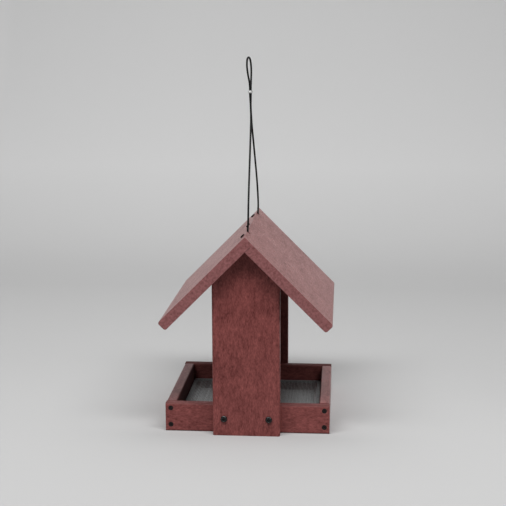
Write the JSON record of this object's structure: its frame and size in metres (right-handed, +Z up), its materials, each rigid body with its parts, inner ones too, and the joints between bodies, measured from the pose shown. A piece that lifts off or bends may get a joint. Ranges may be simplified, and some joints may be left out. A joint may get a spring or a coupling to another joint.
{
  "type": "hanging bird feeder",
  "caption": "Open-sided hanging bird feeder: a planked tray with a lift-out wire floor, two peaked posts, and a gable roof that slides up its looped hanging cable.",
  "frame": {"origin": "on the ground under the middle of the tray", "axes": "+Z up, the front post faces -Y, and the ridge runs along Y"},
  "size_m": [0.205, 0.2378, 0.4486],
  "materials": {
    "plank": "brick-red stained plank with faint grain, matte",
    "screen": "grey wire cloth with a folded rim",
    "screw": "black coated steel",
    "cable": "black coated wire rope",
    "ferrule": "crimped aluminium"
  },
  "bodies": {
    "base": {"front_post": "plank", "back_post": "plank", "tray_front_rail": "plank", "tray_back_rail": "plank", "tray_left_rail": "plank", "tray_right_rail": "plank", "screen_ledge_left": "plank", "screen_ledge_right": "plank", "post_screw_front_left": "screw", "post_screw_front_right": "screw", "post_screw_back_left": "screw", "post_screw_back_right": "screw", "corner_screw_front_left_upper": "screw", "corner_screw_front_left_lower": "screw", "corner_screw_front_right_upper": "screw", "corner_screw_front_right_lower": "screw", "corner_screw_back_left_upper": "screw", "corner_screw_back_left_lower": "screw", "corner_screw_back_right_upper": "screw", "corner_screw_back_right_lower": "screw", "ledge_screw_left_front": "screw", "ledge_screw_left_back": "screw", "ledge_screw_right_front": "screw", "ledge_screw_right_back": "screw", "cable_eye_front": "screw", "cable_eye_back": "screw", "hanging_cable": "cable", "cable_ferrule": "ferrule", "cable_stop_front": "ferrule", "cable_stop_back": "ferrule"},
    "roof": {"roof_left_board": "plank", "roof_right_board": "plank", "ridge_screw_front": "screw", "ridge_screw_middle": "screw", "ridge_screw_back": "screw"},
    "floor": {"floor_screen": "screen", "screen_rim": "screen"}
  },
  "joints": [
    {"name": "roof_lift", "type": "slide", "parent": "base", "child": "roof", "axis": [0, 0, 1], "range_m": [0, 0.06], "deforming": ["hanging_cable"]},
    {"name": "screen_lift", "type": "slide", "parent": "base", "child": "floor", "axis": [0, 0, 1], "range_m": [0, 0.06]}
  ]
}
